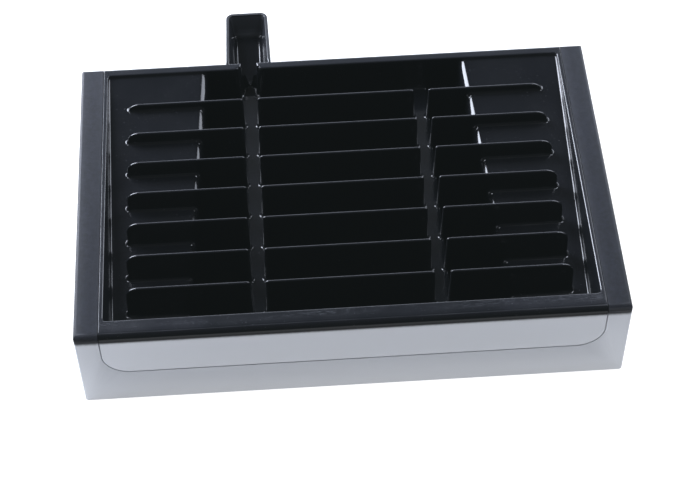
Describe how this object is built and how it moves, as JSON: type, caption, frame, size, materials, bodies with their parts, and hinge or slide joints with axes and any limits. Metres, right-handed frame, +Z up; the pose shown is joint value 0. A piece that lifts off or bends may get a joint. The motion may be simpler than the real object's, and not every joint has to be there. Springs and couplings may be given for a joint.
{
  "type": "drip tray",
  "caption": "Open tray with rows of baffles, through channels, sloping side ledges and a rear drain trough, lifting out of a shallow black and grey moulded housing.",
  "frame": {"origin": "centre of the overall bounding box in plan, on the surface the feet stand on", "axes": "+X to the right across the tray seen from its grey front, +Y from the front face to the drain trough, +Z up"},
  "size_m": [0.24, 0.1906, 0.047],
  "materials": {
    "shell_plastic": "fine matte charcoal moulding, its front face sprayed satin light grey",
    "foot_rubber": "matte",
    "magnet_nickel": "nickel plated",
    "cap_plastic": "matte",
    "tray_gloss": "glossy black moulding",
    "flap_paint": "satin light grey paint below a black rim",
    "contact_steel": "brushed",
    "seal_rubber": "silicone"
  },
  "bodies": {
    "shell": {"outer_shell": "shell_plastic", "front_left_foot": "foot_rubber", "front_right_foot": "foot_rubber", "rear_left_foot": "foot_rubber", "rear_right_foot": "foot_rubber", "presence_magnet": "magnet_nickel", "magnet_cap": "cap_plastic"},
    "tray": {"tray_rim": "tray_gloss", "front_flap": "flap_paint", "rear_skirt": "tray_gloss", "tray_floor": "tray_gloss", "left_ledge": "tray_gloss", "right_ledge": "tray_gloss", "left_channel": "tray_gloss", "right_channel": "tray_gloss", "baffle_1": "tray_gloss", "baffle_2": "tray_gloss", "baffle_3": "tray_gloss", "baffle_4": "tray_gloss", "baffle_5": "tray_gloss", "baffle_6": "tray_gloss", "baffle_7": "tray_gloss", "drain_trough": "tray_gloss", "left_level_contact": "contact_steel", "right_level_contact": "contact_steel", "contact_seals": "seal_rubber"}
  },
  "joints": [
    {"name": "tray_lift", "type": "slide", "parent": "shell", "child": "tray", "axis": [0, 0, 1], "range_m": [0, 0.06]}
  ]
}
